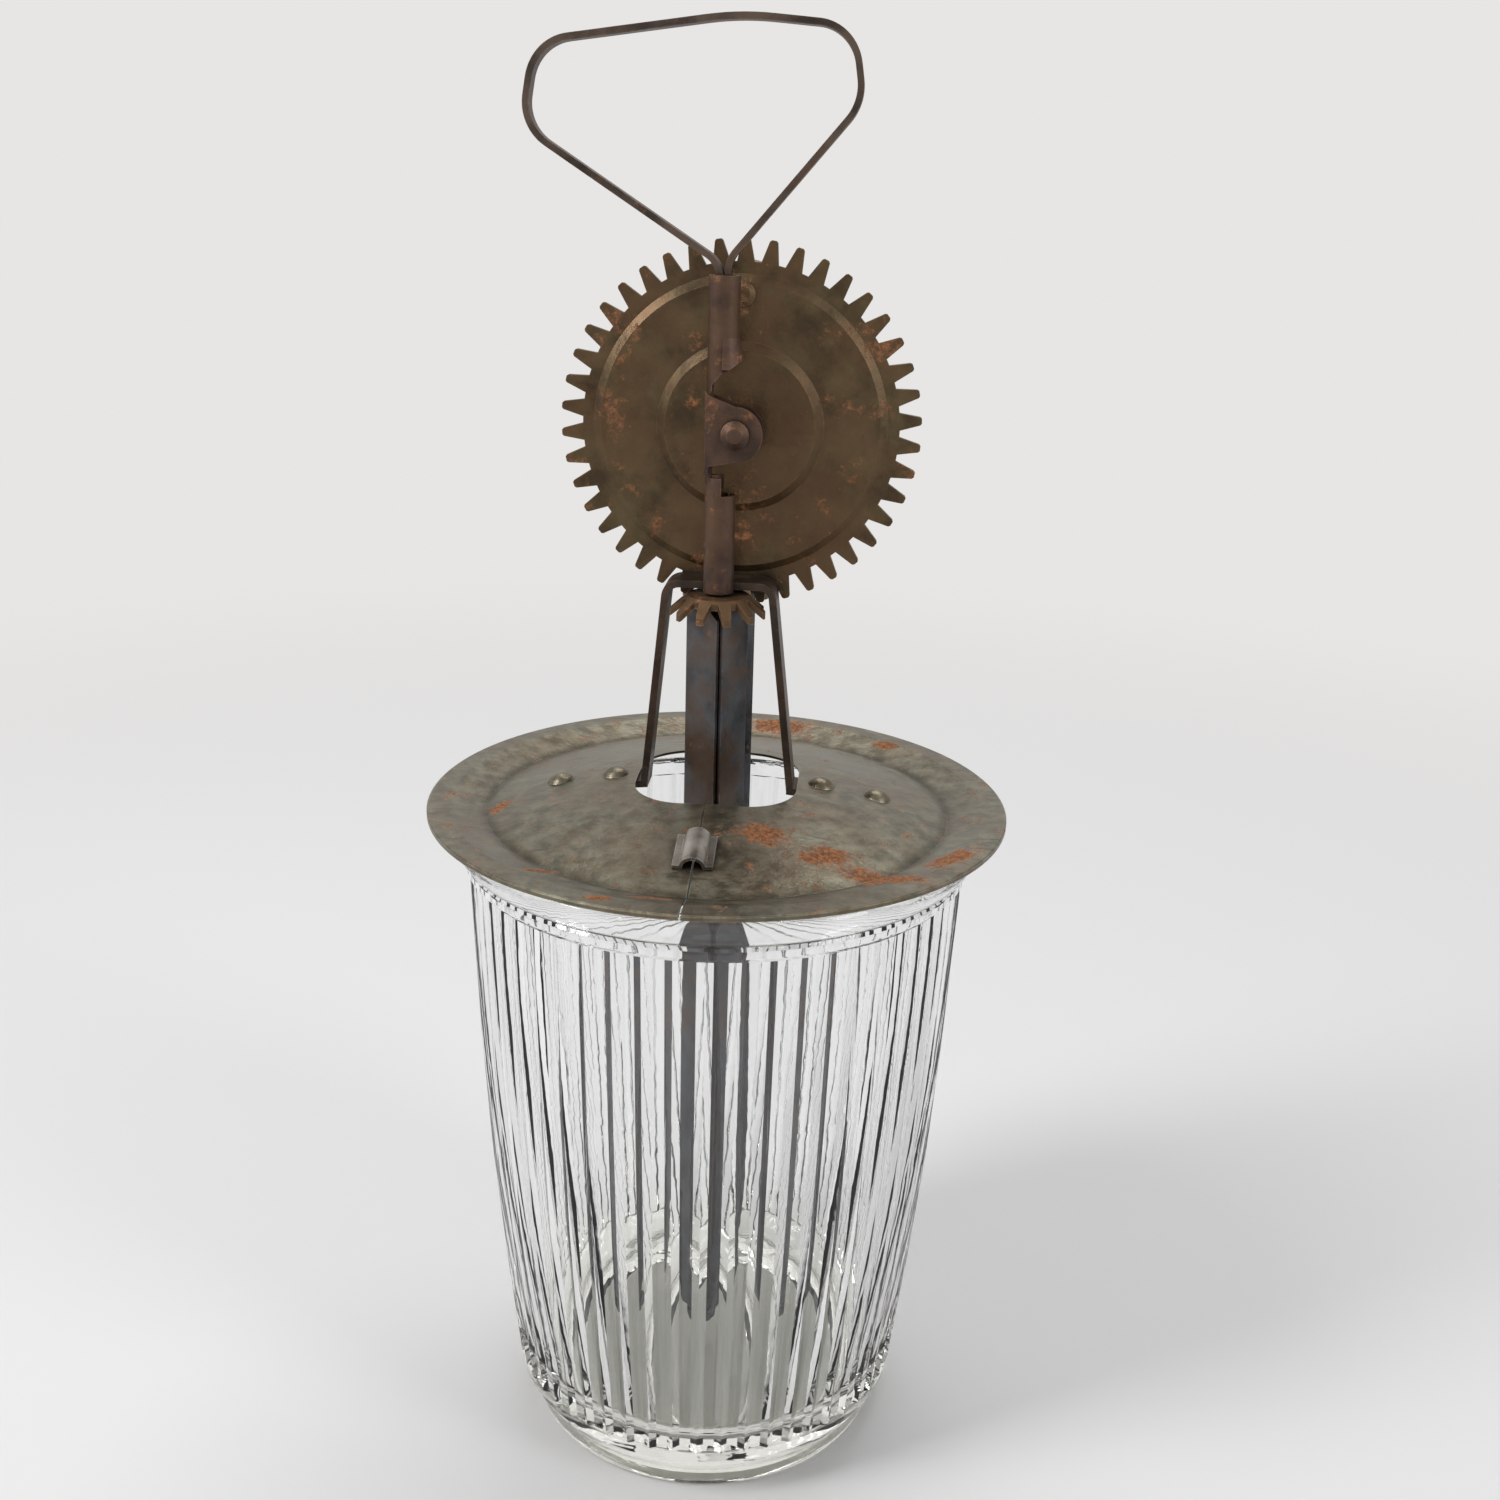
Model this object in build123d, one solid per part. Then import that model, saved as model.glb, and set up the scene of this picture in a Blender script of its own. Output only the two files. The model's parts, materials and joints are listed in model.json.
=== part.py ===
"""Hand cranked mayonnaise mixer: a fluted glass jar, a domed tin lid and a geared twin whisk.

Millimetres. The origin is the centre of the jar's foot on the table, +Z is up, and the drive
wheel turns in the plane Y = 0 with its crank knob on the +Y side.
"""
import os
from math import asin, cos, degrees, hypot, pi, radians, sin, sqrt, tan

from build123d import *

# ---------------------------------------------------------------- driving dimensions
# Jar
JAR_H = 153.7                # foot to the crest of the rim
FOOT_R = 42.5                # outside of the foot
FOOT_FLAT = 3.6              # width of the flat ring that the jar stands on
KICK_H = 3.2                 # hollow under the base
HEEL_Z = 11.0                # where the heel meets the fluted wall
FLOOR_Z = 12.5               # inside floor, at the centre
WALL = 4.0                   # glass thickness of the side
FLUTES = 54
FLUTE_DEPTH = 0.9
FLUTE_SHOULDER = 0.27        # share of a flute's pitch from a ridge to the flat of its panel
FLUTE_BOTTOM_Z = 13.5
FLUTE_TOP_Z = 142.0
MID_Z = 70.0                 # the inside is one arc from floor to collar, through this height
COLLAR_R = 57.0
BEAD_R = 59.3
BEAD_BOTTOM_Z = 145.5
# outside radius of the flute crests, which swell slightly between foot and collar
BODY_CURVE = ((13.5, 46.9), (40.0, 49.8), (70.0, 52.6), (100.0, 54.4), (142.0, 56.1))

# Lid
LID_R = 65.0
LID_T = 0.6
LID_TOP_Z = 156.0            # upper face of the outer flange
FLANGE_IN_R = 60.0
CREASE_R = 52.0              # foot of the dome, where the lid nests in the mouth
CREASE_Z = 153.8
HOLE_HALF = 18.0             # half width of the rounded square opening
HOLE_CORNER_R = 12.0
HOLE_Z = 161.0               # height of the dome at the edge of the opening
# the dome is part of a sphere about a point on the axis
DOME_CENTRE_Z = (HOLE_Z + CREASE_Z - (CREASE_R ** 2 - HOLE_HALF ** 2) / (HOLE_Z - CREASE_Z)) / 2
DOME_R = hypot(HOLE_HALF, HOLE_Z - DOME_CENTRE_Z)
SLIT_X = -1.0                # radial split at the front, through which the lid is sprung
SLIT_W = 0.4                 # round the whisks

# Drive wheel and pinions
WHEEL_TEETH = 42
PINION_TEETH = 11
AXLE_X = 3.0
AXLE_Z = 239.5
WHEEL_TIP_R = 38.0
WHEEL_ROOT_R = 33.4
WHEEL_T = 1.2                # sheet thickness
WEB_R = 30.2                 # the dished web inside the toothed rim
WEB_OFFSET = 1.0
BOSS_R = 17.0                # raised boss
BOSS_OFFSET = 2.6
CRANK_R = 27.0               # crank knob from the axle
PINION_Y = 10.4              # each pinion's axis stands this far from the wheel
PINION_TOP_Z = 205.6
PINION_TIP_R = 10.2
PINION_PLATE_R = 6.6
PINION_BEND = 40.0           # degrees that the teeth are bent down
PINION_T = 1.2
SPINDLE_R = 1.5
RUN = 0.05                   # radial clearance of a running fit

# Post, yoke and handle
POST_R = 3.2
POST_BORE_R = 2.3
POST_BOTTOM_Z = 206.2
POST_TOP_Z = 270.5
EAR_R = 5.6
AXLE_R = 1.55
STRAP_T = 1.6
STRAP_W = 8.0
STRAP_BACK_Y = -1.2          # rear edge of the strap, just clear of the wheel
STRAP_Z = 207.2              # mid thickness of the strap's bridge
LEG_TOP = (11.6, 203.5)      # X and Z of a leg's centre under the shoulder
LEG_FOOT_X = 16.4            # a leg's centre where it passes through the lid
SHOULDER_R = 3.0
FOOT_END_X = 42.0
LID_RIVET_X = (23.4, 36.0)
RIVET_HOLE_R = 1.35
HANDLE_T = 1.3
HANDLE_W = 3.6

# Whisks
STRIP_T = 0.8
BOX_R = 4.7                  # centre line of a blade from the spindle, above the lid
BLADE_W = 8.2
BELLY_R = 7.8                # the same, at the belly of the whisk
BELLY_W = 5.2
BELLY_TOP_Z = 72.0
BELLY_LOW_Z = 42.0
NECK_Z = 128.0
WHISK_BOTTOM_Z = 27.0
LINK_T = 1.6
LINK_TOP_Z = 25.6
FRONT_TURN = -35.0           # how the front whisk's blades stand at rest, about +Z
REAR_TURN = 35.0

NODES = {}


# ---------------------------------------------------------------- helpers
def rod(radius, start, end, x=0.0, axis="Z", other=0.0):
    """A round bar between two heights on Z, or between two depths on Y."""
    length = end - start
    if axis == "Z":
        place = Location((x, other, start))
    else:
        place = Location((x, start, other), (-90, 0, 0))
    return place * Cylinder(radius, length, align=(Align.CENTER, Align.CENTER, Align.MIN))


def turned(points, centre=(0.0, 0.0), axis="Z"):
    """A solid of revolution from (radius, height) points, stood on Z or laid along Y."""
    face = Plane.XZ * make_face(Polyline(*points, close=True))
    solid = revolve(face, Axis.Z)
    if axis == "Z":
        return Location((centre[0], centre[1], 0)) * solid
    return Location((centre[0], 0, centre[1]), (-90, 0, 0)) * solid


def gear_plan(teeth, root_r, tip_r, root_w, tip_w, turn, nip=0.35):
    """The flat outline of a sheet gear, with the middle of one tooth at the angle turn."""
    inner = root_r - 0.6
    tooth = make_face(Polyline((inner, -root_w / 2), (root_r, -root_w / 2),
                               (tip_r - nip, -tip_w / 2), (tip_r, -tip_w / 2 + nip),
                               (tip_r, tip_w / 2 - nip), (tip_r - nip, tip_w / 2),
                               (root_r, root_w / 2), (inner, root_w / 2), close=True))
    ring = [Rot(0, 0, turn + 360.0 * i / teeth) * tooth for i in range(teeth)]
    return Sketch() + Circle(root_r) + ring


def dome_z(r, drop=0.0):
    """Height of the dome at a radius, or of a surface that lies drop below it."""
    return DOME_CENTRE_Z + sqrt((DOME_R - drop) ** 2 - r ** 2)


def dome_layer(top_drop, thickness, inner_r=0.0, outer_r=CREASE_R):
    """A layer that follows the dome, starting top_drop below its upper face."""
    radii = (inner_r, (inner_r + outer_r) / 2, outer_r)
    upper = [(r, dome_z(r, top_drop)) for r in radii]
    lower = [(r, dome_z(r, top_drop + thickness)) for r in radii]
    with BuildSketch(Plane.XZ) as sk:
        with BuildLine():
            ThreePointArc(*upper)
            Line(upper[-1], lower[-1])
            ThreePointArc(*lower[::-1])
            Line(lower[0], upper[0])
        make_face()
    return revolve(sk.sketch, Axis.Z)


# ---------------------------------------------------------------- jar
def body_radius(z):
    """Outside radius at the flute crests, between the points of BODY_CURVE."""
    for (z0, r0), (z1, r1) in zip(BODY_CURVE, BODY_CURVE[1:]):
        if z <= z1:
            return r0 + (r1 - r0) * (z - z0) / (z1 - z0)
    return BODY_CURVE[-1][1]


def flute_section(z):
    """One level of the fluted wall: nearly flat panels between sharp ridges."""
    crest = body_radius(z)
    valley = crest - FLUTE_DEPTH
    step = 2 * pi / FLUTES
    points = []
    for i in range(FLUTES):
        for r, share in ((crest, 0.0), (valley, FLUTE_SHOULDER), (valley, 1 - FLUTE_SHOULDER)):
            angle = (i + share) * step
            points.append((r * cos(angle), r * sin(angle)))
    return Plane.XY.offset(z) * make_face(Polyline(*points, close=True))


def glass_jar():
    fluted = loft([flute_section(z) for z, _ in BODY_CURVE], ruled=True)
    top_r = BODY_CURVE[-1][1]
    low_r = BODY_CURVE[0][1]
    with BuildSketch(Plane.XZ) as heel:
        with BuildLine():
            Polyline((0, KICK_H), (FOOT_R - FOOT_FLAT - 6, KICK_H - 0.6),
                     (FOOT_R - FOOT_FLAT, 0), (FOOT_R - 1.2, 0))
            ThreePointArc((FOOT_R - 1.2, 0), (FOOT_R, 1.3), (FOOT_R - 0.4, 3.6))
            Polyline((FOOT_R - 0.4, 3.6), (low_r - 1.6, HEEL_Z - 2.4), (low_r - 0.3, HEEL_Z),
                     (low_r, FLUTE_BOTTOM_Z), (0, FLUTE_BOTTOM_Z), (0, KICK_H))
        make_face()
    with BuildSketch(Plane.XZ) as collar:
        with BuildLine():
            Polyline((0, FLUTE_TOP_Z), (top_r, FLUTE_TOP_Z), (COLLAR_R, FLUTE_TOP_Z + 1.0),
                     (COLLAR_R, BEAD_BOTTOM_Z - 0.8), (COLLAR_R - 0.5, BEAD_BOTTOM_Z))
            ThreePointArc((COLLAR_R - 0.5, BEAD_BOTTOM_Z), (BEAD_R, BEAD_BOTTOM_Z + 3.4),
                          (COLLAR_R + 0.6, JAR_H - 0.9))
            ThreePointArc((COLLAR_R + 0.6, JAR_H - 0.9), (COLLAR_R - 0.9, JAR_H),
                          (COLLAR_R - 3.2, JAR_H - 1.2))
            Polyline((COLLAR_R - 3.2, JAR_H - 1.2), (0, JAR_H - 1.2), (0, FLUTE_TOP_Z))
        make_face()
    solid = revolve(heel.sketch, Axis.Z) + fluted + revolve(collar.sketch, Axis.Z)
    middle = (body_radius(MID_Z) - WALL, MID_Z)
    floor_r = low_r - WALL - 9.0
    mouth_r = COLLAR_R - 3.2
    with BuildSketch(Plane.XZ) as cavity:
        with BuildLine():
            Line((0, FLOOR_Z), (floor_r, FLOOR_Z))
            JernArc((floor_r, FLOOR_Z), (1, 0), 8.0, 82)
            low = (floor_r + 8.0 * sin(radians(82)), FLOOR_Z + 8.0 * (1 - cos(radians(82))))
            ThreePointArc(low, middle, (mouth_r - 0.6, FLUTE_TOP_Z))
            Polyline((mouth_r - 0.6, FLUTE_TOP_Z), (mouth_r, JAR_H - 4.0), (mouth_r, JAR_H + 1),
                     (0, JAR_H + 1), (0, FLOOR_Z))
        make_face()
    return solid - revolve(cavity.sketch, Axis.Z)


# ---------------------------------------------------------------- lid
def rivet_places():
    return [(side * x, 0.01) for side in (-1, 1) for x in LID_RIVET_X]


def lid_opening():
    plan = RectangleRounded(2 * HOLE_HALF, 2 * HOLE_HALF, HOLE_CORNER_R)
    return extrude(Plane.XY.offset(CREASE_Z - 5) * plan, 20)


def lid():
    flange = turned([(CREASE_R - 0.4, CREASE_Z - LID_T), (CREASE_R, CREASE_Z - LID_T),
                     (FLANGE_IN_R, LID_TOP_Z - LID_T), (LID_R - 0.5, LID_TOP_Z - LID_T),
                     (LID_R - 0.5, LID_TOP_Z - LID_T - 0.5), (LID_R, LID_TOP_Z - LID_T - 0.5),
                     (LID_R, LID_TOP_Z - 0.3), (LID_R - 0.4, LID_TOP_Z),
                     (FLANGE_IN_R, LID_TOP_Z), (CREASE_R, CREASE_Z),
                     (CREASE_R - 0.4, CREASE_Z)])
    sheet = dome_layer(0, LID_T) + flange
    slit = Location((SLIT_X, -LID_R / 2 - 5, CREASE_Z)) * Box(SLIT_W, LID_R + 2, 20)
    sheet = sheet - lid_opening() - slit
    for x, y in rivet_places():
        sheet -= on_dome(x, y).location * rod(RIVET_HOLE_R, -5, 2)
    return sheet


CLIP_Y = -38.0
CLIP_LENGTH = 11.0
CLIP_R = 2.8
CLIP_T = 0.7


def on_dome(x, y):
    """A frame on the lid's upper face, with its Z along the dome's normal."""
    height = dome_z(hypot(x, y))
    normal = Vector(x, y, height - DOME_CENTRE_Z)
    return Plane(origin=(x, y, height), x_dir=Vector(0, 1, 0).cross(normal), z_dir=normal)


def seam_clip():
    """The folded tab that holds the two sides of the split together."""
    seat = on_dome(SLIT_X, CLIP_Y)
    arch = Circle(CLIP_R) - Circle(CLIP_R - CLIP_T)
    arch = arch & (Pos(0, CLIP_R) * Rectangle(4 * CLIP_R, 2 * CLIP_R))
    left = Pos(-CLIP_R - 0.5, CLIP_T / 2) * Rectangle(1.8, CLIP_T)
    right = Pos(CLIP_R + 0.5, CLIP_T / 2) * Rectangle(1.8, CLIP_T)
    profile = Plane.XZ * (arch + left + right)
    bar = extrude(profile, CLIP_LENGTH / 2, both=True)
    return seat.location * Pos(0, 0, 0.02) * bar


def lid_rivets():
    """Four round headed rivets that hold the yoke's feet under the lid."""
    head = Sphere(3.6) & (Pos(0, 0, 5.0) * Box(8, 8, 6.4))
    head = Pos(0, 0, -1.8) * head
    under = -LID_T - STRAP_T - 0.1
    shank = rod(1.3, under - 0.5, 0.3)
    tail = rod(2.3, under - 1.0, under)
    rivet = head + shank + tail
    return Compound([on_dome(x, y).location * rivet for x, y in rivet_places()])


# ---------------------------------------------------------------- yoke
def yoke():
    """The strap that carries the mechanism: a bridge, two legs and two feet under the lid."""
    half_x, leg_z = LEG_TOP
    strap_y = STRAP_BACK_Y - STRAP_W / 2
    path = FilletPolyline((-half_x, leg_z), (-half_x + 0.4, STRAP_Z),
                          (half_x - 0.4, STRAP_Z), (half_x, leg_z), radius=SHOULDER_R)
    ribbon = Plane.XZ * trace(path, STRAP_T)
    bridge = Pos(0, STRAP_BACK_Y, 0) * extrude(ribbon, STRAP_W)
    notch = rod(POST_R, STRAP_Z - 5, STRAP_Z + 5, 0, "Z", -PINION_Y)
    solid = bridge - notch
    foot_z = dome_z(LEG_FOOT_X) - LID_T - STRAP_T / 2
    layer = dome_layer(LID_T + 0.02, STRAP_T, 12.0, FOOT_END_X + 4)
    for side in (-1, 1):
        top = Plane((side * half_x, strap_y, leg_z)) * Rectangle(STRAP_T, STRAP_W)
        low = Plane((side * LEG_FOOT_X, 0, foot_z)) * Rectangle(STRAP_T, STRAP_W)
        leg = loft([low, top], ruled=True)
        length = FOOT_END_X - LEG_FOOT_X + STRAP_T / 2
        plan = Rectangle(length, STRAP_W)
        plan = fillet(plan.vertices(), STRAP_W / 2 - 1.0)
        plan += Pos(-side * length / 4, 0) * Rectangle(length / 2, STRAP_W)
        plan = Pos(side * (FOOT_END_X - length / 2), 0) * plan
        foot = layer & extrude(Plane.XY.offset(CREASE_Z - 6) * plan, 20)
        for x, y in rivet_places():
            foot -= on_dome(x, y).location * rod(RIVET_HOLE_R, -5, 2)
        solid = solid + leg + foot
    return solid


# ---------------------------------------------------------------- post and handle
def frame_post():
    """A rolled strip: a socket above, a bearing below, and a U bracket for the axle between."""
    axis_y = -PINION_Y
    wall = POST_R - POST_BORE_R
    tube = rod(POST_R, POST_BOTTOM_Z, POST_TOP_Z, 0, "Z", axis_y)
    tube -= rod(POST_BORE_R, POST_BOTTOM_Z - 1, POST_TOP_Z + 1, 0, "Z", axis_y)
    # the window where the strip is left open, with a slanted cut above and below
    window = make_face(Polyline((-2.0, 230.5), (-2.0, 249.2), (POST_R + 1, 256.5),
                                (POST_R + 1, 226.8), (0.4, 226.8), (0.4, 230.5), close=True))
    tube -= Pos(0, axis_y + 5, 0) * extrude(Plane.XZ * window, 10)
    # the rolled seam, at the back on the right
    seam = Pos(1.6, axis_y + POST_R - 0.6, (POST_BOTTOM_Z + POST_TOP_Z) / 2)
    tube -= seam * Box(0.35, 2.4, POST_TOP_Z - POST_BOTTOM_Z + 2)
    # ears of the U bracket
    low_z, high_z = AXLE_Z - EAR_R - 1.0, AXLE_Z + EAR_R + 1.0
    outline = make_face(Polyline((-POST_R, low_z - 2.5), (-POST_R, high_z + 2.0),
                                 (-POST_R + wall, high_z + 1.0), (AXLE_X, AXLE_Z + EAR_R),
                                 (AXLE_X, AXLE_Z - EAR_R), (-POST_R + wall, low_z),
                                 close=True))
    outline += Pos(AXLE_X, AXLE_Z) * Circle(EAR_R)
    ears = None
    for y in (axis_y - POST_R + wall, axis_y + POST_R):
        ear = Pos(0, y, 0) * extrude(Plane.XZ * outline, wall)
        ears = ear if ears is None else ears + ear
    web = Pos(-POST_R + wall / 2, axis_y, (low_z + high_z) / 2)
    ears += web * Box(wall, 2 * POST_R, high_z - low_z)
    ears -= rod(AXLE_R, -30, 10, AXLE_X, "Y", AXLE_Z)
    # the lip that flares out of the socket above the bracket
    lip = turned([(POST_BORE_R, 258.5), (POST_R, 258.5), (POST_R + 1.5, 252.5),
                  (POST_R + 0.7, 251.9)], (0, axis_y))
    keep = make_face(Polyline((0.2, 251.4), (POST_R + 3, 255.8), (POST_R + 3, 260),
                              (0.2, 260), close=True))
    lip &= Pos(0, axis_y + 1.5, 0) * extrude(Plane.XZ * keep, 8)
    return tube + ears + lip


# corners of the loop, X and Z, from the left arm round to the right arm
LOOP = ((-0.7, 257.5), (-0.7, 272.6), (-40.2, 297.2), (-37.6, 312.4), (2.0, 318.0),
        (23.6, 316.4), (25.8, 303.0), (0.7, 273.4), (0.7, 257.5))
LOOP_RADII = (6.0, 8.5, 9.0, 60.0, 8.5, 9.0, 6.0)


def handle_loop():
    """A flat steel strip bent into a grip, both ends held in the post's socket."""
    path = Plane.XZ * FilletPolyline(*LOOP, radius=list(LOOP_RADII))
    profile = Plane(origin=path @ 0, z_dir=path % 0, x_dir=(1, 0, 0)) * Rectangle(HANDLE_T,
                                                                                   HANDLE_W)
    return Pos(0, -PINION_Y, 0) * sweep(profile, path)


# ---------------------------------------------------------------- wheel, axle and crank
def wheel_turn():
    """Angle of a tooth, from +X, that leaves a gap over the pinions at X = 0."""
    mesh_r = WHEEL_TIP_R - 1.6
    gap = -90.0 - degrees(asin(AXLE_X / mesh_r))
    return gap + 180.0 / WHEEL_TEETH


def drive_wheel():
    """A pressed sheet gear, dished at the web and raised again at the boss."""
    half = WHEEL_T / 2
    slope = 1.2
    # (radius, depth of the front face): the front faces -Y
    front = [(AXLE_R + RUN, BOSS_OFFSET + half), (BOSS_R - slope, BOSS_OFFSET + half),
             (BOSS_R + 0.6, WEB_OFFSET + half), (WEB_R - 0.8, WEB_OFFSET + half),
             (WEB_R + 0.8, half), (WHEEL_TIP_R + 1, half)]
    back = [(r, depth - WHEEL_T) for r, depth in reversed(front)]
    solid = turned(front + back)
    plan = gear_plan(WHEEL_TEETH, WHEEL_ROOT_R, WHEEL_TIP_R, 3.6, 1.7, 0)
    blank = extrude(Plane.XY.offset(-6) * plan, 12)
    solid = solid & blank
    pin_hole = rod(1.6, -4, 6, CRANK_R, "Z", 0)
    turn = wheel_turn()
    solid = Rot(0, 0, turn) * solid
    solid -= Rot(0, 0, 90) * pin_hole
    # stand the disc up so that its raised side faces -Y
    return Location((AXLE_X, 0, AXLE_Z), (90, 0, 0)) * solid


def axle_rivet():
    head = turned([(0, -15.6), (1.5, -15.6), (2.9, -14.6), (2.9, -13.6), (0, -13.6)],
                  (AXLE_X, AXLE_Z), "Y")
    shank = rod(AXLE_R, -13.6, -1.1, AXLE_X, "Y", AXLE_Z)
    tail = turned([(0, -1.15), (2.6, -1.15), (2.6, -0.5), (1.4, 0.3), (0, 0.3)],
                  (AXLE_X, AXLE_Z), "Y")
    return head + shank + tail


def washer(outer_r, bore_r, start, end, x, z):
    return rod(outer_r, start, end, x, "Y", z) - rod(bore_r, start - 1, end + 1, x, "Y", z)


def crank_pin():
    """The riveted pin that the knob turns on."""
    z = AXLE_Z + CRANK_R
    back = -WEB_OFFSET + WHEEL_T / 2
    front = back - WHEEL_T
    pin = rod(1.6, front - 0.1, 28.6, AXLE_X, "Y", z)
    pin += turned([(0, front - 0.9), (1.5, front - 0.9), (2.5, front - 0.3), (2.5, front),
                   (0, front)], (AXLE_X, z), "Y")
    pin += rod(2.3, back, back + 1.2, AXLE_X, "Y", z)
    pin += turned([(0, 28.5), (2.6, 28.5), (2.6, 29.1), (1.6, 29.7), (0, 29.7)],
                  (AXLE_X, z), "Y")
    return pin


def crank_knob():
    """A turned wooden grip with a narrow neck that clears the rear pinion."""
    with BuildSketch(Plane.XZ) as sk:
        with BuildLine():
            Line((1.7, 1.0), (3.7, 1.0))
            ThreePointArc((3.7, 1.0), (3.6, 6.0), (4.4, 12.0))
            ThreePointArc((4.4, 12.0), (6.0, 20.5), (4.0, 28.4))
            Polyline((4.0, 28.4), (1.7, 28.4), (1.7, 1.0))
        make_face()
    knob = revolve(sk.sketch, Axis.Z)
    return Location((AXLE_X, 0, AXLE_Z + CRANK_R), (-90, 0, 0)) * knob


# ---------------------------------------------------------------- whisks
def pinion(side):
    """A sheet pinion with its teeth bent down; side is -1 in front of the wheel, 1 behind."""
    fall = tan(radians(PINION_BEND))
    drop = (PINION_TIP_R + 1 - PINION_PLATE_R) * fall
    thick = PINION_T / cos(radians(PINION_BEND))
    top = PINION_TOP_Z
    cup = turned([(SPINDLE_R + RUN, top), (PINION_PLATE_R, top),
                  (PINION_TIP_R + 1, top - drop), (PINION_TIP_R + 1, top - drop - thick),
                  (PINION_PLATE_R - 0.4, top - PINION_T), (SPINDLE_R + RUN, top - PINION_T)])
    plan = gear_plan(PINION_TEETH, PINION_PLATE_R + 0.5, PINION_TIP_R, 2.7, 1.8,
                     -side * 90.0, 0.3)
    cup = cup & extrude(Plane.XY.offset(top - 10) * plan, 12)
    return Pos(0, side * PINION_Y, 0) * cup


def whisk_strip(side, turn, lift):
    """One steel strip bent into a long U: two blades that meet under the spindle's foot."""
    top_z = PINION_TOP_Z - PINION_T - STRIP_T / 2 - 0.02
    bottom = WHISK_BOTTOM_Z + lift
    tab_r = 2.3
    right = [(tab_r, top_z), (BOX_R, top_z), (BOX_R, NECK_Z), (BELLY_R, BELLY_TOP_Z),
             (BELLY_R, BELLY_LOW_Z), (BELLY_R * 0.6, bottom)]
    left = [(-x, z) for x, z in reversed(right)]
    radii = [1.0, 60.0, 60.0, 8.0, 3.0, 3.0, 8.0, 60.0, 60.0, 1.0]
    path = FilletPolyline(*right, *left, radius=radii)
    ribbon = extrude(Plane.XZ * trace(path, STRIP_T), BLADE_W / 2, both=True)
    # the strip's width as seen square on to the blade
    tab, wide, slim = 1.9, BLADE_W / 2, BELLY_W / 2
    seam_z = top_z - STRIP_T / 2 - 0.3
    plan = [(tab, top_z + 2), (tab, seam_z), (wide, seam_z - 2.0), (wide, NECK_Z),
            (slim, BELLY_TOP_Z + 10), (slim, bottom - 3)]
    outline = make_face(Polyline(*plan, *[(-y, z) for y, z in reversed(plan)], close=True))
    strip = ribbon & extrude(Plane.YZ * outline, BELLY_R + 4, both=True)
    strip -= rod(SPINDLE_R + RUN, bottom - 4, bottom + 4)
    return Location((0, side * PINION_Y, 0), (0, 0, turn)) * strip


def front_spindle():
    bottom = LINK_TOP_Z - LINK_T - 1.2
    pin = rod(SPINDLE_R, bottom, POST_BOTTOM_Z + 1, 0, "Z", -PINION_Y)
    pin += rod(POST_BORE_R, POST_BOTTOM_Z, POST_BOTTOM_Z + 18, 0, "Z", -PINION_Y)
    return pin + rod(2.4, bottom - 0.2, LINK_TOP_Z - LINK_T, 0, "Z", -PINION_Y)


def rear_spindle():
    bottom = LINK_TOP_Z - LINK_T - 1.2
    pin = rod(SPINDLE_R, bottom, PINION_TOP_Z + 0.4, 0, "Z", PINION_Y)
    head = turned([(0, PINION_TOP_Z + 0.1), (2.5, PINION_TOP_Z + 0.1),
                   (2.3, PINION_TOP_Z + 0.7), (1.2, PINION_TOP_Z + 1.1),
                   (0, PINION_TOP_Z + 1.1)], (0, PINION_Y))
    return pin + head + rod(2.4, bottom - 0.2, LINK_TOP_Z - LINK_T, 0, "Z", PINION_Y)


def foot_link():
    """The plate that ties the feet of the two spindles."""
    plan = Rot(0, 0, 90) * SlotCenterToCenter(2 * PINION_Y, 7.0)
    plate = extrude(Plane.XY.offset(LINK_TOP_Z - LINK_T) * plan, LINK_T)
    for side in (-1, 1):
        plate -= rod(SPINDLE_R, LINK_TOP_Z - 5, LINK_TOP_Z + 5, 0, "Z", side * PINION_Y)
    return plate


# ---------------------------------------------------------------- write the parts
def build():
    lift = STRIP_T + 0.3
    boss_front = -(BOSS_OFFSET + WHEEL_T / 2)
    bracket_back = -PINION_Y + POST_R
    NODES.update({
        "glass_jar": glass_jar(),
        "lid": lid(),
        "seam_clip": seam_clip(),
        "lid_rivets": lid_rivets(),
        "yoke": yoke(),
        "frame_post": frame_post(),
        "handle_loop": handle_loop(),
        "axle_rivet": axle_rivet(),
        "axle_spacer": washer(3.2, AXLE_R, bracket_back, boss_front - RUN, AXLE_X, AXLE_Z),
        "axle_washer": washer(3.0, AXLE_R, boss_front + WHEEL_T + RUN, -1.17, AXLE_X, AXLE_Z),
        "front_spindle": front_spindle(),
        "rear_spindle": rear_spindle(),
        "foot_link": foot_link(),
        "drive_wheel": drive_wheel(),
        "crank_pin": crank_pin(),
        "crank_knob": crank_knob(),
        "front_pinion": pinion(-1),
        "front_outer_strip": whisk_strip(-1, FRONT_TURN, 0),
        "front_inner_strip": whisk_strip(-1, FRONT_TURN + 90, lift),
        "rear_pinion": pinion(1),
        "rear_outer_strip": whisk_strip(1, REAR_TURN, 0),
        "rear_inner_strip": whisk_strip(1, REAR_TURN + 90, lift),
    })
    os.makedirs("parts", exist_ok=True)
    for name, shape in NODES.items():
        shape.label = name
        export_step(shape, f"parts/{name}.step")
        print(name, len(shape.solids()), "solids", round(shape.volume, 1), "mm3")


build()
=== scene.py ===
# %% [markdown]
# # A hand cranked mixer on a fluted glass jar
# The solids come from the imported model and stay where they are. This file gives them their
# finishes, adds the light and the camera, and adds the small wear that the solids leave out.

# %% Load the frame
import json
import math
import bpy
from mathutils import Matrix, Vector

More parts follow.
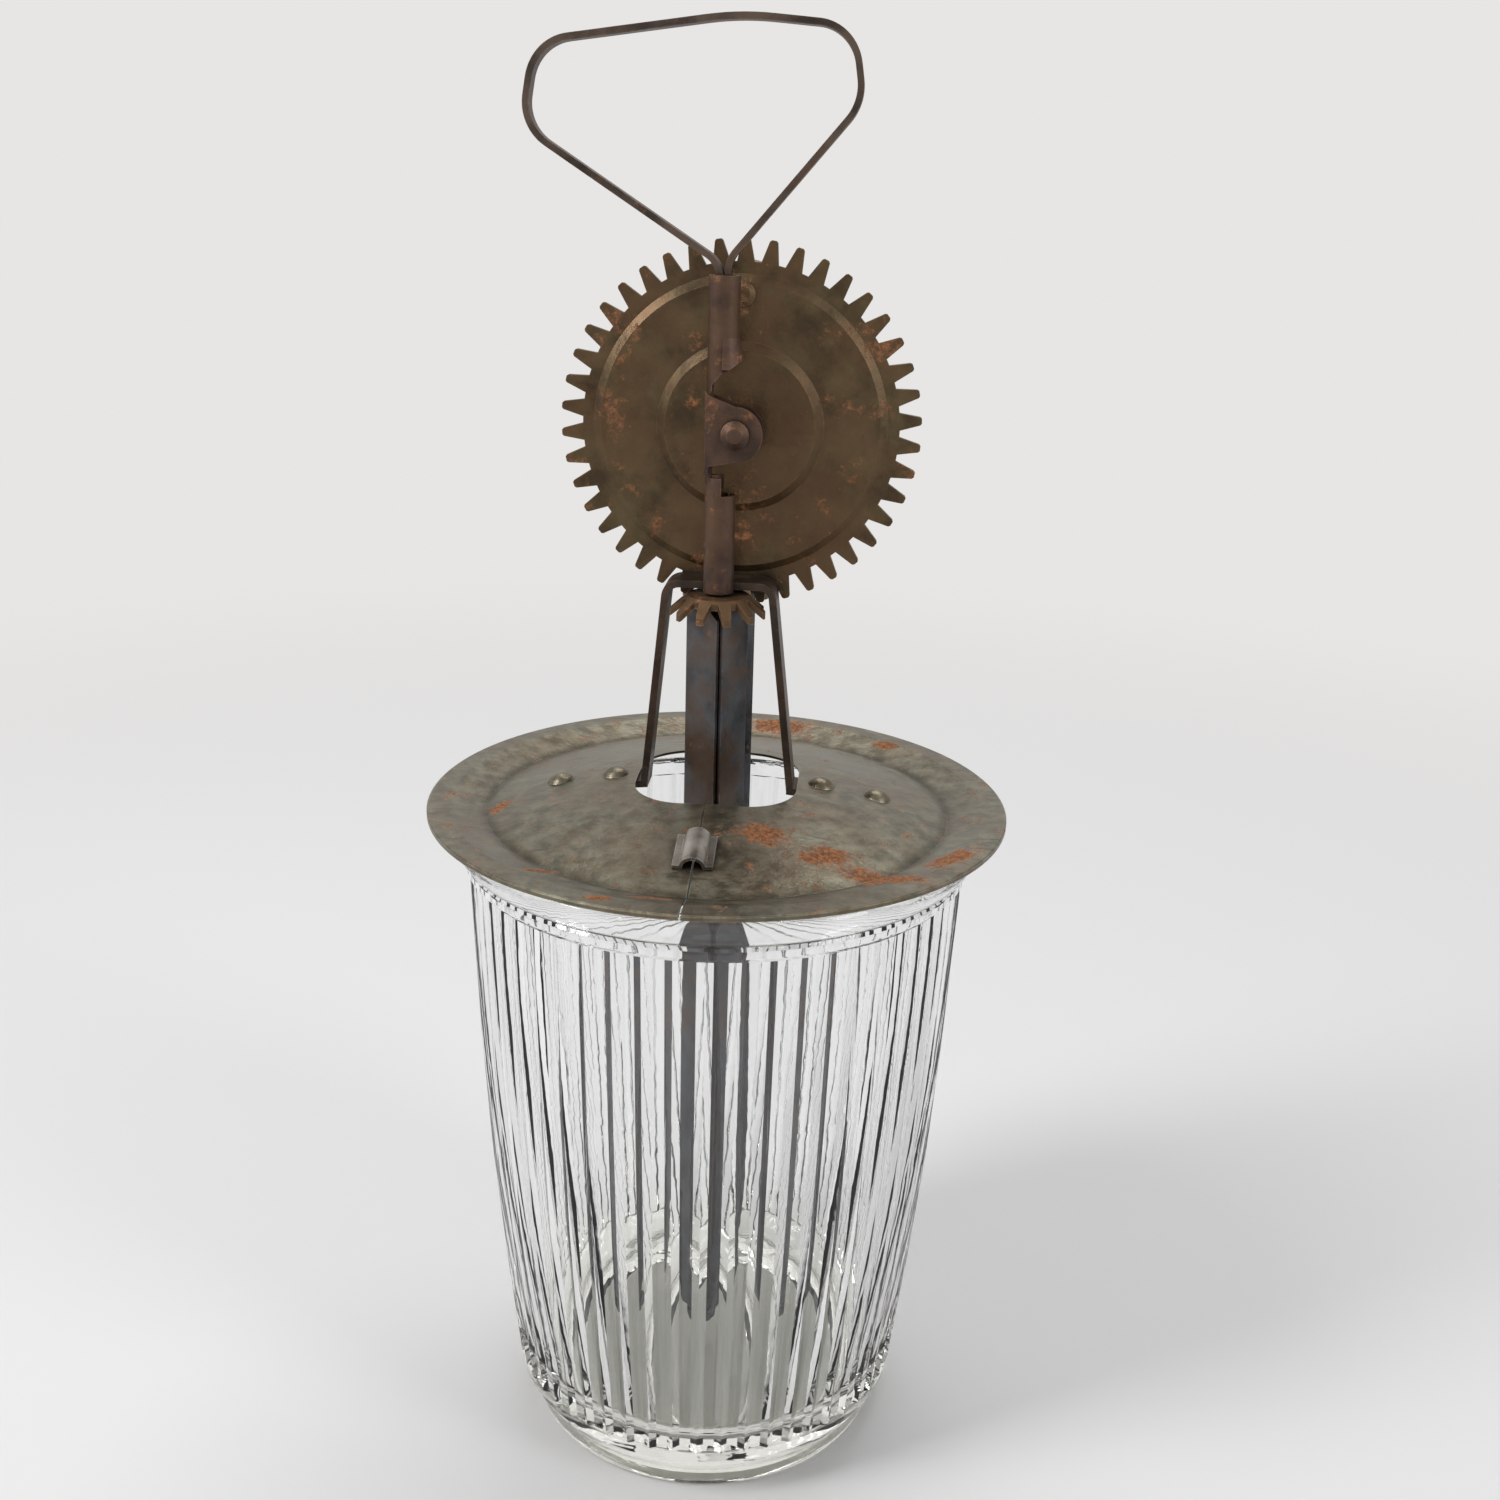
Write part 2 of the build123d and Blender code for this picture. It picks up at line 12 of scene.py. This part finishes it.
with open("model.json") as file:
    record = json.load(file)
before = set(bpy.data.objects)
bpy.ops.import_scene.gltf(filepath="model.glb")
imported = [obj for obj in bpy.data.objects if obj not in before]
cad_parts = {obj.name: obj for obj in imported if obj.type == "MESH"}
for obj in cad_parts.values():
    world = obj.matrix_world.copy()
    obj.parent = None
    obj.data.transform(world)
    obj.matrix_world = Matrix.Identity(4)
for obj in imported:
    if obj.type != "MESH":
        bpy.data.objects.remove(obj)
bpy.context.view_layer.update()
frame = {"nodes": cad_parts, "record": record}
nodes = frame["nodes"]
scene = bpy.context.scene
scene.view_settings.view_transform = "Standard"
MM = 0.001

# %% [markdown]
# ## The camera
# The photograph was taken from about 35 cm in front, level with the top of the wheel. A close
# camera makes the jar narrow quickly towards its foot, so the distance matters as much as the
# lens. Both were fitted to the round rims of the lid and foot, which show as ellipses, and to the
# mechanism above them.

# %% Camera
SENSOR = 36.0             # width, mm
LENS = 39.16              # mm
NEAR = 10.0 * MM
EYE = Vector((31.2, -346.1, 285.86)) * MM
YAW, PITCH, ROLL = math.radians(4.0), math.radians(18.81), math.radians(1.69)


def make_camera():
    forward = Vector((-math.sin(YAW) * math.cos(PITCH), math.cos(YAW) * math.cos(PITCH),
                      -math.sin(PITCH)))
    level = Vector((math.cos(YAW), math.sin(YAW), 0))
    above = level.cross(forward)
    right = level * math.cos(ROLL) + above * math.sin(ROLL)
    up = above * math.cos(ROLL) - level * math.sin(ROLL)
    data = bpy.data.cameras.new("camera")
    data.lens = LENS
    data.sensor_width = SENSOR
    data.clip_start = NEAR
    camera = bpy.data.objects.new("camera", data)
    scene.collection.objects.link(camera)
    turn = Matrix((right, up, -forward)).transposed()
    camera.matrix_world = Matrix.Translation(EYE) @ turn.to_4x4()
    scene.camera = camera


make_camera()

# %% [markdown]
# ## Small steps that every material uses
# A finish is a chain of simple nodes. Each step below adds one node and returns its output, so a
# chain can be written as nested calls. A step takes either a number or another step's output.

# %% Node helpers


def feed(tree, value, socket):
    """Link an output to a socket, or set the socket when the value is a plain one."""
    if isinstance(value, bpy.types.NodeSocket):
        tree.links.new(value, socket)
    else:
        socket.default_value = value


def new_material(name):
    material = bpy.data.materials.new(name)
    material.use_nodes = True
    return material, material.node_tree, material.node_tree.nodes["Principled BSDF"]


def own_place(tree):
    """Position in the object's own coordinates, so a finish moves with its piece."""
    return tree.nodes.new("ShaderNodeTexCoord").outputs["Object"]


def add_noise(tree, vector, scale, detail=4.0, rough=0.55):
    noise = tree.nodes.new("ShaderNodeTexNoise")
    noise.inputs["Detail"].default_value = detail
    noise.inputs["Roughness"].default_value = rough
    feed(tree, vector, noise.inputs["Vector"])
    feed(tree, scale, noise.inputs["Scale"])
    return noise.outputs["Fac"]


def add_math(tree, kind, a, b=0.5):
    node = tree.nodes.new("ShaderNodeMath")
    node.operation = kind
    feed(tree, a, node.inputs[0])
    feed(tree, b, node.inputs[1])
    return node.outputs[0]


def add_max(tree, masks):
    """The strongest of several masks at each point."""
    total = masks[0]
    for mask in masks[1:]:
        total = add_math(tree, "MAXIMUM", total, mask)
    return total


def add_range(tree, value, low, high, to_low=0.0, to_high=1.0):
    """A smooth step from to_low to to_high as the value goes from low to high."""
    node = tree.nodes.new("ShaderNodeMapRange")
    node.interpolation_type = "SMOOTHSTEP"
    for label, number in (("Value", value), ("From Min", low), ("From Max", high),
                          ("To Min", to_low), ("To Max", to_high)):
        feed(tree, number, node.inputs[label])
    return node.outputs["Result"]


def add_length(tree, vector):
    node = tree.nodes.new("ShaderNodeVectorMath")
    node.operation = "LENGTH"
    feed(tree, vector, node.inputs[0])
    return node.outputs["Value"]


def mix_colour(tree, mask, first, second):
    mix = tree.nodes.new("ShaderNodeMix")
    mix.data_type = "RGBA"
    feed(tree, mask, mix.inputs["Factor"])
    for label, value in (("A", first), ("B", second)):
        feed(tree, (*value, 1.0) if isinstance(value, tuple) else value, mix.inputs[label])
    return mix.outputs["Result"]


def add_bump(tree, shader, height, strength, distance):
    bump = tree.nodes.new("ShaderNodeBump")
    bump.inputs["Strength"].default_value = strength
    bump.inputs["Distance"].default_value = distance
    feed(tree, height, bump.inputs["Height"])
    feed(tree, bump.outputs["Normal"], shader.inputs["Normal"])


# %% [markdown]
# ## Light, floor and background
# Old steel is dull and glass has no colour of its own, so both are seen through what they
# reflect. Two soft lamps from the upper left and right give the jar its long highlights, and a
# third, overhead and behind, lifts the lid. The background stays pale in the camera, in
# reflections and through the glass, and is dim for all other light.

# %% Stage
PALE = (0.80, 0.79, 0.78)
DIM = (0.34, 0.35, 0.37)
FLOOR_GREY = (0.74, 0.73, 0.72, 1.0)
FLOOR_ROUGH = 0.8
FLOOR_R = 4.0                         # metres
FADE_START, FADE_END = 0.22, 0.95     # metres from the object
LAMP_TARGET = Vector((0, 0, 0.18))
LAMPS = (                             # name, place and size in metres, watts
    ("window", (-0.9, -0.5, 1.0), (0.35, 0.9), 11.0),
    ("room", (1.1, -0.6, 0.8), (0.4, 0.9), 5.0),
    ("overhead", (0.1, 0.5, 1.3), (0.9, 0.6), 7.0),
)


def see_pale(tree):
    """A mask of 1 for rays that should find the pale background."""
    rays = tree.nodes.new("ShaderNodeLightPath").outputs
    return add_max(tree, [rays["Is Camera Ray"], rays["Is Transmission Ray"],
                          rays["Is Glossy Ray"]])


def make_world():
    world = bpy.data.worlds.new("studio")
    world.use_nodes = True
    scene.world = world
    tree = world.node_tree
    light = mix_colour(tree, see_pale(tree), DIM, PALE)
    feed(tree, light, tree.nodes["Background"].inputs["Color"])


def fade_to_background(tree, shader):
    """Far from the object, the floor turns into the plain background, so no horizon shows."""
    far = tree.nodes.new("ShaderNodeEmission")
    far.inputs["Color"].default_value = (*PALE, 1.0)
    fade = add_range(tree, add_length(tree, own_place(tree)), FADE_START, FADE_END)
    mix = tree.nodes.new("ShaderNodeMixShader")
    feed(tree, add_math(tree, "MULTIPLY", fade, see_pale(tree)), mix.inputs["Fac"])
    tree.links.new(shader.outputs["BSDF"], mix.inputs[1])
    tree.links.new(far.outputs["Emission"], mix.inputs[2])
    tree.links.new(mix.outputs["Shader"], tree.nodes["Material Output"].inputs["Surface"])


def make_floor():
    bpy.ops.mesh.primitive_circle_add(vertices=96, radius=FLOOR_R, fill_type="NGON")
    floor = bpy.context.object
    floor.name = "floor"
    material, tree, shader = new_material("pale_floor")
    shader.inputs["Base Color"].default_value = FLOOR_GREY
    shader.inputs["Roughness"].default_value = FLOOR_ROUGH
    fade_to_background(tree, shader)
    floor.data.materials.append(material)


def make_lamp(name, place, size, watts):
    data = bpy.data.lights.new(name, "AREA")
    data.shape = "RECTANGLE"
    data.size, data.size_y = size
    data.energy = watts
    lamp = bpy.data.objects.new(name, data)
    lamp.location = place
    lamp.rotation_mode = "QUATERNION"
    lamp.rotation_quaternion = (LAMP_TARGET - Vector(place)).to_track_quat("-Z", "Y")
    scene.collection.objects.link(lamp)


make_world()
make_floor()
for lamp in LAMPS:
    make_lamp(*lamp)

# %% [markdown]
# ## Effects that the finishes share
# All the steel here has aged the same way: a mottled skin, rust that starts in spots and fine
# scratches. Painted shade darkens the colour where pieces meet. Each effect is a node group with
# its own inputs, so every piece can carry more or less of it.

# %% Shared effects
BROAD_SHARE, FINE_SHARE = 0.75, 0.25    # of the two noises that shape a spot of rust
RUST_FINENESS = 7.0                     # how much finer the second noise is
RUST_EDGE = 0.12                        # how softly a spot ends
SPECK_FINENESS = 22.0                   # how much finer specks are than clouds
SCRATCH_TURNS = (0.35, 1.9)             # radians
SCRATCH_STRETCH = (0.07, 1.0, 0.2)
CHIP_SCALE = 260.0
SHADE_SAMPLES = 4


def new_group(name, inputs, outputs):
    group = bpy.data.node_groups.new(name, "ShaderNodeTree")
    for label, value in inputs:
        socket = group.interface.new_socket(label, in_out="INPUT", socket_type="NodeSocketFloat")
        socket.default_value = value
    for label in outputs:
        group.interface.new_socket(label, in_out="OUTPUT", socket_type="NodeSocketFloat")
    given = group.nodes.new("NodeGroupInput").outputs
    made = group.nodes.new("NodeGroupOutput").inputs
    return group, given, made


def place_group(tree, group, **values):
    node = tree.nodes.new("ShaderNodeGroup")
    node.node_tree = group
    for label, value in values.items():
        node.inputs[label].default_value = value
    return node.outputs


def group_rust():
    """Spots and blooms of rust: a mask and a height."""
    group, given, made = new_group("rust_bloom", [("Scale", 90.0), ("Amount", 0.4)],
                                   ["Mask", "Height"])
    place = own_place(group)
    broad = add_noise(group, place, given["Scale"], detail=6.0, rough=0.65)
    fine = add_noise(group, place, add_math(group, "MULTIPLY", given["Scale"], RUST_FINENESS),
                     rough=0.7)
    both = add_math(group, "ADD", add_math(group, "MULTIPLY", broad, BROAD_SHARE),
                    add_math(group, "MULTIPLY", fine, FINE_SHARE))
    # more rust means that a lower noise value already counts as rust
    start = add_math(group, "SUBTRACT", 0.78, add_math(group, "MULTIPLY", given["Amount"], 0.4))
    mask = add_range(group, both, start, add_math(group, "ADD", start, RUST_EDGE))
    feed(group, mask, made["Mask"])
    feed(group, add_math(group, "MULTIPLY", mask, fine), made["Height"])
    return group


def group_mottle():
    """Broad cloudy variation of an aged skin, with fine specks."""
    group, given, made = new_group("mottle", [("Scale", 60.0)], ["Cloud", "Speck"])
    place = own_place(group)
    cloud = add_noise(group, place, given["Scale"], detail=5.0, rough=0.6)
    feed(group, add_range(group, cloud, 0.3, 0.7), made["Cloud"])
    fine_scale = add_math(group, "MULTIPLY", given["Scale"], SPECK_FINENESS)
    speck = add_noise(group, place, fine_scale, detail=3.0, rough=0.7)
    feed(group, add_range(group, speck, 0.62, 0.74), made["Speck"])
    return group


def group_corner_shade():
    """Painted shade in corners: 1 where a surface lies close to another."""
    group, given, made = new_group("painted_corner_shade", [("Reach", 0.003)], ["Mask"])
    hollow = group.nodes.new("ShaderNodeAmbientOcclusion")
    hollow.samples = SHADE_SAMPLES
    feed(group, given["Reach"], hollow.inputs["Distance"])
    feed(group, add_range(group, hollow.outputs["AO"], 0.95, 0.35), made["Mask"])
    return group


def group_edge_wear():
    """Sharp edges rubbed bare: where a rounded normal departs from the true one."""
    group, given, made = new_group("edge_wear", [("Width", 0.0004)], ["Mask"])
    soft = group.nodes.new("ShaderNodeBevel")
    soft.samples = SHADE_SAMPLES
    feed(group, given["Width"], soft.inputs["Radius"])
    match = group.nodes.new("ShaderNodeVectorMath")
    match.operation = "DOT_PRODUCT"
    feed(group, soft.outputs["Normal"], match.inputs[0])
    feed(group, group.nodes.new("ShaderNodeNewGeometry").outputs["Normal"], match.inputs[1])
    chips = add_noise(group, own_place(group), CHIP_SCALE, rough=0.7)
    edge = add_range(group, match.outputs["Value"], 0.985, 0.86)
    feed(group, add_math(group, "MULTIPLY", edge, add_range(group, chips, 0.38, 0.6)),
         made["Mask"])
    return group


def group_scratches():
    """Fine hairlines along two directions: noise drawn out along each."""
    group, given, made = new_group("scratches", [("Scale", 300.0)], ["Mask"])
    place = own_place(group)
    lines = []
    for turn in SCRATCH_TURNS:
        drawn = group.nodes.new("ShaderNodeMapping")
        drawn.inputs["Rotation"].default_value = (0.0, 0.0, turn)
        drawn.inputs["Scale"].default_value = SCRATCH_STRETCH
        feed(group, place, drawn.inputs["Vector"])
        noise = add_noise(group, drawn.outputs["Vector"], given["Scale"], detail=3.0, rough=0.6)
        lines.append(add_range(group, noise, 0.66, 0.72))
    feed(group, add_max(group, lines), made["Mask"])
    return group


RUST, MOTTLE, CORNER_SHADE_GROUP = group_rust(), group_mottle(), group_corner_shade()
SCRATCHES, EDGE_WEAR = group_scratches(), group_edge_wear()

# %% [markdown]
# ## Aged steel
# Paint would be one even coat, but this is bare sheet that has darkened and rusted. So the colour
# goes from a dark skin to a lighter one in clouds, then rust lies on top. Rust is rough and does
# not shine like metal, so the same mask also drives roughness and the metallic value. The lid is
# seen closest, so its largest patches of rust stand where the photograph has them, and painted
# shade darkens the crease round its dome.

# %% Steel finishes
RUST_DARK = (0.105, 0.042, 0.018)
RUST_BRIGHT = (0.36, 0.14, 0.045)
RUST_FILM = (0.115, 0.062, 0.030)
RUST_SHINE, RUST_ROUGH = 0.05, 0.9
CRUMB_SCALE = 1100.0
# painted shade: the dark colour laid into corners where surfaces lie close
CORNER_SHADE_COLOUR = (0.022, 0.016, 0.012)
CORNER_REACH = 2.5 * MM
EDGE_WIDTH = 0.4 * MM
EDGE_LIGHTEN = 1.9
SPECK_DARKEN, HAIRLINE_DARKEN = 0.4, 0.3
HAIRLINE_SCALE = 520.0
# how strongly each layer covers what is below it
SPECK_COVER, HAIRLINE_COVER, GROOVE_COVER, CORNER_COVER, EDGE_COVER = 0.6, 0.55, 0.85, 0.7, 0.7
CLOUD_ROUGH = 0.14                      # spread of roughness across the clouds
CLOUD_HEIGHT = 0.6
GROOVE_R = 51.8 * MM
GROOVE_REACH = 2.6 * MM
# painted shade: the dark colour laid in the crease round the lid's dome
GROOVE_SHADE_COLOUR = (0.040, 0.034, 0.018)
LID_Z = 157.0 * MM                      # a height inside the lid's thickness, for the patches
PATCH_DEPTH = 20.0 * MM
PATCHES = (                             # X, Y, half length, half width (mm), turn (degrees)
    (11.7, -28.7, 7.0, 5.0, 0), (25.5, -33.3, 7.0, 4.0, 20), (38.0, -38.6, 12.0, 4.6, -15),
    (52.0, -28.0, 9.0, 4.2, 45), (11.1, 56.7, 10.0, 4.5, 0), (37.8, 44.5, 5.0, 2.6, -30),
    (-31.9, -44.4, 4.5, 2.0, 20), (-47.7, -10.7, 4.0, 2.2, 70), (-7.5, -55.1, 5.0, 1.8, 0),
    (-17.7, -59.0, 3.5, 1.5, 0),
)


def lid_patches(tree):
    """The lid's own rust patches, each an oval with a ragged edge."""
    place = own_place(tree)
    ragged = add_math(tree, "MULTIPLY", add_noise(tree, place, 420.0, detail=6.0, rough=0.7), 1.9)
    masks = []
    for x, y, length, width, turn in PATCHES:
        oval = tree.nodes.new("ShaderNodeMapping")
        oval.vector_type = "TEXTURE"
        oval.inputs["Location"].default_value = (x * MM, y * MM, LID_Z)
        oval.inputs["Rotation"].default_value = (0, 0, math.radians(turn))
        oval.inputs["Scale"].default_value = (length * MM, width * MM, PATCH_DEPTH)
        feed(tree, place, oval.inputs["Vector"])
        spread = add_math(tree, "ADD", add_length(tree, oval.outputs["Vector"]), ragged)
        masks.append(add_range(tree, spread, 2.0, 1.45))
    return add_max(tree, masks)


def lid_groove_shade(tree):
    """Painted shade in the crease between the lid's dome and its rim, broken up by noise."""
    place = own_place(tree)
    split = tree.nodes.new("ShaderNodeSeparateXYZ")
    feed(tree, place, split.inputs[0])
    level = tree.nodes.new("ShaderNodeCombineXYZ")
    for axis in ("X", "Y"):
        feed(tree, split.outputs[axis], level.inputs[axis])
    radius = add_length(tree, level.outputs["Vector"])
    away = add_math(tree, "ABSOLUTE", add_math(tree, "SUBTRACT", radius, GROOVE_R))
    noise = add_noise(tree, place, 150.0, detail=5.0, rough=0.65)
    return add_math(tree, "MULTIPLY", add_range(tree, away, GROOVE_REACH, 0.0),
                    add_range(tree, noise, 0.3, 0.62, 0.35, 1.0))


def scaled(colour, factor):
    return tuple(min(1.0, factor * part) for part in colour)


def lay_over(tree, mask, cover, below, above):
    """Lay one colour over another where the mask is, with the cover as its strength."""
    return mix_colour(tree, add_math(tree, "MULTIPLY", mask, cover), below, above)


def steel_skin(tree, mottle, dark, light, rust, scale, brown):
    """The darkened sheet itself: clouds, specks, hairlines and a thin film of rust."""
    skin = mix_colour(tree, mottle["Cloud"], dark, light)
    skin = lay_over(tree, mottle["Speck"], SPECK_COVER, skin, scaled(dark, SPECK_DARKEN))
    hairlines = place_group(tree, SCRATCHES, Scale=HAIRLINE_SCALE)["Mask"]
    skin = lay_over(tree, hairlines, HAIRLINE_COVER, skin, scaled(dark, HAIRLINE_DARKEN))
    film = place_group(tree, RUST, Scale=scale * 0.35, Amount=rust + 0.28)["Mask"]
    return lay_over(tree, film, brown, skin, RUST_FILM)


def aged_steel(name, dark, light, rust=0.4, scale=90.0, rough=0.5, shine=0.7, brown=0.4,
               patches=False):
    material, tree, shader = new_material(name)
    mottle = place_group(tree, MOTTLE, Scale=scale * 1.1)
    bloom = place_group(tree, RUST, Scale=scale, Amount=rust)
    mask = bloom["Mask"]
    skin = steel_skin(tree, mottle, dark, light, rust, scale, brown)
    if patches:
        # painted shade laid into the crease round the lid's dome
        skin = lay_over(tree, lid_groove_shade(tree), GROOVE_COVER, skin, GROOVE_SHADE_COLOUR)
        mask = add_max(tree, [mask, lid_patches(tree)])
    crumbs = add_noise(tree, own_place(tree), CRUMB_SCALE, detail=6.0, rough=0.75)
    corrosion = mix_colour(tree, add_range(tree, crumbs, 0.38, 0.66), RUST_DARK, RUST_BRIGHT)
    colour = mix_colour(tree, mask, skin, corrosion)
    # painted shade: the colour is darkened where surfaces lie close to each other
    corners = place_group(tree, CORNER_SHADE_GROUP, Reach=CORNER_REACH)["Mask"]
    colour = lay_over(tree, corners, CORNER_COVER, colour, CORNER_SHADE_COLOUR)
    bare = place_group(tree, EDGE_WEAR, Width=EDGE_WIDTH)["Mask"]
    colour = lay_over(tree, bare, EDGE_COVER, colour, scaled(light, EDGE_LIGHTEN))
    feed(tree, colour, shader.inputs["Base Color"])
    feed(tree, add_range(tree, mask, 0.0, 1.0, shine, RUST_SHINE), shader.inputs["Metallic"])
    worn = add_math(tree, "ADD", add_math(tree, "MULTIPLY", mottle["Cloud"], CLOUD_ROUGH),
                    rough - CLOUD_ROUGH / 2)
    rusted = add_math(tree, "MULTIPLY", mask, RUST_ROUGH)
    feed(tree, add_max(tree, [worn, rusted]), shader.inputs["Roughness"])
    clouds = add_math(tree, "MULTIPLY", mottle["Cloud"], CLOUD_HEIGHT)
    add_bump(tree, shader, add_math(tree, "ADD", bloom["Height"], clouds),
             strength=0.5, distance=0.3 * MM)
    return material


STEELS = {
    "lid_tin": dict(dark=(0.100, 0.090, 0.062), light=(0.195, 0.180, 0.132),
                    rust=0.56, rough=0.36, shine=0.8, scale=210.0, brown=0.28, patches=True),
    "clip_steel": dict(dark=(0.20, 0.18, 0.155), light=(0.42, 0.39, 0.35),
                       rust=0.42, rough=0.34, shine=0.9, brown=0.25),
    "strap_steel": dict(dark=(0.028, 0.020, 0.016), light=(0.085, 0.058, 0.042), rust=0.48),
    "post_steel": dict(dark=(0.045, 0.026, 0.019), light=(0.110, 0.064, 0.046),
                       rust=0.60, brown=0.6),
    "handle_steel": dict(dark=(0.035, 0.025, 0.020), light=(0.115, 0.082, 0.062), rust=0.48),
    "wheel_steel": dict(dark=(0.050, 0.032, 0.015), light=(0.120, 0.084, 0.040),
                        rust=0.60, scale=110.0, rough=0.42, brown=0.6),
    "pinion_steel": dict(dark=(0.070, 0.042, 0.020), light=(0.160, 0.098, 0.048),
                         rust=0.60, brown=0.6),
    "whisk_steel": dict(dark=(0.030, 0.032, 0.036), light=(0.098, 0.104, 0.114),
                        rust=0.50, rough=0.44, shine=0.75, brown=0.5),
}

# %% [markdown]
# ## Glass and wood
# The jar is thick pressed glass. A plain clear shader on the real inner and outer walls bends
# light the way the flutes do, with no tricks. Only the thick heel shows a colour, so the tint
# follows height. The knob's grain runs along its own axis.

# %% Glass and wood finishes
GLASS_IOR = 1.5
GLASS_ROUGH = 0.02
GLASS_CLEAR = (0.985, 0.99, 0.987)
GLASS_HEEL = (0.965, 0.972, 0.905)
HEEL_TOP, HEEL_BOTTOM = 30.0 * MM, 4.0 * MM
WOOD_DARK = (0.075, 0.032, 0.016)
WOOD_LIGHT = (0.22, 0.105, 0.05)
GRAIN_STRETCH = (1.0, 0.12, 1.0)
GRAIN_SCALE = 900.0


def pressed_glass():
    material, tree, shader = new_material("jar_glass")
    shader.inputs["Transmission Weight"].default_value = 1.0
    shader.inputs["Roughness"].default_value = GLASS_ROUGH
    shader.inputs["IOR"].default_value = GLASS_IOR
    place = own_place(tree)
    split = tree.nodes.new("ShaderNodeSeparateXYZ")
    feed(tree, place, split.inputs[0])
    tint = add_range(tree, split.outputs["Z"], HEEL_TOP, HEEL_BOTTOM)
    feed(tree, mix_colour(tree, tint, GLASS_CLEAR, GLASS_HEEL), shader.inputs["Base Color"])
    add_bump(tree, shader, add_noise(tree, place, 110.0, detail=2.0),
             strength=0.12, distance=0.6 * MM)
    return material


def worn_wood():
    material, tree, shader = new_material("knob_wood")
    stretch = tree.nodes.new("ShaderNodeMapping")
    stretch.inputs["Scale"].default_value = GRAIN_STRETCH
    feed(tree, own_place(tree), stretch.inputs["Vector"])
    noise = add_noise(tree, stretch.outputs["Vector"], GRAIN_SCALE, detail=5.0)
    grain = add_range(tree, noise, 0.35, 0.65)
    feed(tree, mix_colour(tree, grain, WOOD_DARK, WOOD_LIGHT), shader.inputs["Base Color"])
    feed(tree, add_range(tree, grain, 0.0, 1.0, 0.35, 0.6), shader.inputs["Roughness"])
    add_bump(tree, shader, grain, strength=0.3, distance=0.2 * MM)
    return material


# %% [markdown]
# ## Each piece gets its finish
# The record names a material slot for every piece. Giving out finishes by that name means that a
# piece added to the model later needs no change here, as long as it uses one of these slots.

# %% Give each node the finish that its slot names
finishes = {slot: aged_steel(slot, **values) for slot, values in STEELS.items()}
finishes["jar_glass"] = pressed_glass()
finishes["knob_wood"] = worn_wood()
for part in frame["record"]["subparts"]:
    node = nodes[part["node"]]
    if not node.material_slots:
        node.data.materials.append(None)
    for slot in node.material_slots:
        slot.material = finishes[part["material_slot"]]
    print(part["node"], "->", part["material_slot"])
